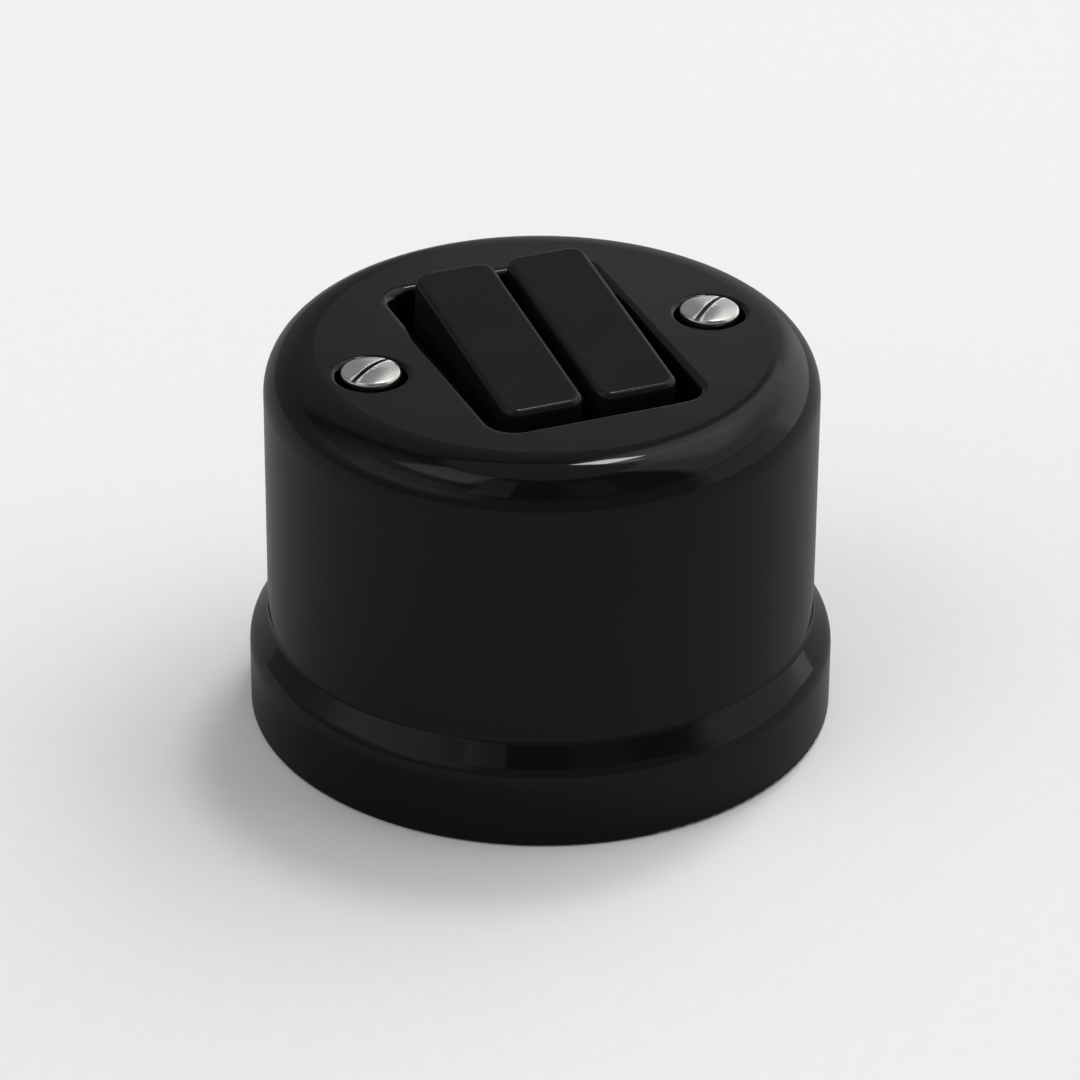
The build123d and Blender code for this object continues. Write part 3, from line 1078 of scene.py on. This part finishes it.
@dataclass(frozen=True)
class TentPatch:
    """An area of the light tent that is brighter than the rest.

    Its middle, half width and half height are angles in degrees. The core is the share of its
    width and height that has the full gain, and round it the gain fades out.
    """

    label: str
    turn: float
    rise: float
    width: float
    height: float
    core: float
    gain: float


@dataclass(frozen=True)
class SoftBox:
    """An area lamp that faces the object.

    Angles are in degrees and lengths in metres. Radiance is the brightness of its face, where one is white.
    """

    name: str
    turn: float
    rise: float
    reach: float
    width: float
    height: float
    radiance: float


@dataclass
class Studio:
    """Pale floor, light tent and the camera. Lengths are in metres, angles in degrees.

    Directions are given by the turn round the object from the camera's own bearing, to its right,
    and the rise over the floor. The tent's turns run half way round to each side of its middle.
    """

    tent_level: float = 0.25
    tent_colour: str = "#ffffff"
    tent_middle: float = 60.0
    patches: tuple[TentPatch, ...] = (
        # Turn, rise, half width, half height, core and gain of each
        TentPatch("skirt lit by the floor", 60, 0, ALL_ROUND, 27, 0.8, 0.26),
        TentPatch("roof", 60, 90, ALL_ROUND, 23, 0.75, 0.62),
        TentPatch("right window", 118, 49, 54, 23, 0.85, 1.45),
        TentPatch("right window, brightest pane", 126, 56, 42, 17, 0.4, 1.15),
        TentPatch("right window, top edge", 142, 70, 22, 4, 0.3, 4.0),
        TentPatch("right window, sill", 114, 12, 54, 18, 0.75, 0.94),
        TentPatch("right window, lower pane", 135, 14, 32, 18, 0.5, 0.42),
        TentPatch("left window", -72, 36, 47, 34, 0.35, 0.56),
        TentPatch("left window, head", -57, 58, 29, 13, 0.6, 1.8),
        TentPatch("left window, foot", -56, 26, 37, 14, 0.65, 0.45),
        TentPatch("curtain", -22, 46, 10, 22, 0.7, 0.52),
        TentPatch("pale cloth beside the camera", 25, 45, 17, 24, 0.4, 0.21),
        TentPatch("back wall", 185, 45, 55, 23, 0.75, 0.32),
        TentPatch("table before the back wall", 149, 4, 36.5, 26.5, 0.82, 0.62),
    )
    back_window: SoftBox = SoftBox(
        "back_window", turn=153, rise=69.5, reach=1.3, width=0.16, height=0.205, radiance=34.0
    )
    floor_radius: float = 1.5
    floor_sides: int = 128
    focus: tuple[float, float, float] = (0.0, 0.0, 0.02225)
    azimuth: float = -22.35
    elevation: float = 29.43
    distance: float = 0.585
    lens_mm: float = 174.8
    sensor_mm: float = 36.0
    near_clip: float = 0.01
    roll: float = 0.37
    shift: tuple[float, float] = (-0.0011, -0.0189)

    def direction(self, turn: float, rise: float) -> Vector:
        """Point from the object to a place in the studio.

        Args:
            turn: Degrees round the object from the camera, to its right.
            rise: Degrees over the floor.

        Returns:
            The unit direction.
        """
        bearing = math.radians(self.azimuth + turn)
        level = math.cos(math.radians(rise))
        height = math.sin(math.radians(rise))
        return Vector((math.sin(bearing) * level, -math.cos(bearing) * level, height))

    def add_floor(self) -> None:
        """Lay the floor disc under the foot."""
        mesh = bmesh.new()
        radius = self.floor_radius / MM
        bmesh.ops.create_circle(mesh, cap_ends=True, segments=self.floor_sides, radius=radius)
        place_mesh(mesh, "floor", PAPER)

    def add_lamp(self, box: SoftBox) -> None:
        """Hang a soft box that faces the object.

        Args:
            box: The lamp's place, size and brightness.
        """
        lamp = bpy.data.lights.new(box.name, "AREA")
        lamp.shape = "RECTANGLE"
        lamp.size, lamp.size_y = box.width, box.height
        lamp.energy = math.pi * box.width * box.height * box.radiance
        hung = bpy.data.objects.new(box.name, lamp)
        toward = self.direction(box.turn, box.rise)
        hung.location = Vector(self.focus) + toward * box.reach
        hung.rotation_euler = toward.to_track_quat("Z", "Y").to_euler()
        bpy.context.scene.collection.objects.link(hung)

    def add_camera(self) -> None:
        """Place the camera at the photograph's angle."""
        lens = bpy.data.cameras.new("camera")
        lens.lens = self.lens_mm
        lens.sensor_width = self.sensor_mm
        lens.shift_x, lens.shift_y = self.shift
        lens.clip_start = self.near_clip
        camera = bpy.data.objects.new("camera", lens)
        toward = self.direction(0, self.elevation)
        aim = toward.to_track_quat("Z", "Y").to_matrix().to_4x4()
        place = Matrix.Translation(Vector(self.focus) + toward * self.distance)
        camera.matrix_world = place @ aim @ Matrix.Rotation(math.radians(self.roll), 4, "Z")
        bpy.context.scene.collection.objects.link(camera)
        bpy.context.scene.camera = camera

    def add_tent(self) -> None:
        """Wrap the object in a dim tent with bright windows at its sides and a lit table behind."""
        world = bpy.data.worlds.new("light_tent")
        world.use_nodes = True
        tree = world.node_tree
        tree.nodes.clear()
        place = add_node(tree, "TexCoord").outputs["Generated"]
        middle = self.direction(self.tent_middle, 0)
        swing = {"Vector": place, "Angle": -math.atan2(middle.y, middle.x)}
        swung = add_node(tree, "VectorRotate", swing, rotation_type="Z_AXIS")
        way = add_node(tree, "SeparateXYZ", {"Vector": swung}).outputs
        turn = add_node(tree, "Math", {0: way["Y"], 1: way["X"]}, operation="ARCTAN2")
        rise = add_node(tree, "Math", {0: way["Z"]}, operation="ARCSINE")
        angles = add_node(tree, "CombineXYZ", {"X": turn, "Y": rise})
        # Map Range gives its vector inputs the names of its plain ones, so they go by number
        gap_input, none_input, full_input = 6, 7, 8
        level: Any = self.tent_level
        for patch in self.patches:
            spread = add_node(
                tree,
                "Mapping",
                {
                    "Vector": angles,
                    "Location": (math.radians(patch.turn - self.tent_middle), math.radians(patch.rise), 0),
                    "Scale": (math.radians(patch.width), math.radians(patch.height), 1),
                },
                vector_type="TEXTURE",
                label=patch.label,
            )
            gaps = add_node(tree, "VectorMath", {0: spread}, operation="ABSOLUTE")
            shares = add_node(
                tree,
                "MapRange",
                {gap_input: gaps, none_input: (1, 1, 1), full_input: (patch.core, patch.core, patch.core)},
                data_type="FLOAT_VECTOR",
                interpolation_type="SMOOTHSTEP",
            )
            sides = add_node(tree, "SeparateXYZ", {"Vector": shares}).outputs
            share = add_node(tree, "Math", {0: sides["X"], 1: sides["Y"]}, operation="MULTIPLY")
            level = add_node(tree, "Math", {0: share, 1: patch.gain, 2: level}, operation="MULTIPLY_ADD")
        back = add_node(tree, "Background", {"Strength": level, "Color": linear(self.tent_colour)})
        add_node(tree, "OutputWorld", {"Surface": back})
        bpy.context.scene.world = world

    def build(self) -> None:
        """Set up floor, tent, lamp and camera."""
        self.add_floor()
        self.add_tent()
        self.add_lamp(self.back_window)
        self.add_camera()
        bpy.context.scene.view_settings.view_transform = "Standard"


def main() -> None:
    """Dress and build the switch, one sub-assembly after another, then set up the studio."""
    logging.basicConfig(level=logging.INFO, format="%(name)s: %(message)s")
    PorcelainShell().build()
    ContactDeck().build()
    for side in ("up", "down"):
        KeyPole(side).build()
    for screws in (COVER_SCREWS, PILLAR_SCREWS, HOUSING_SCREWS, TERMINAL_SCREWS):
        screws.build()
    Studio().build()


if __name__ == "__main__":
    main()
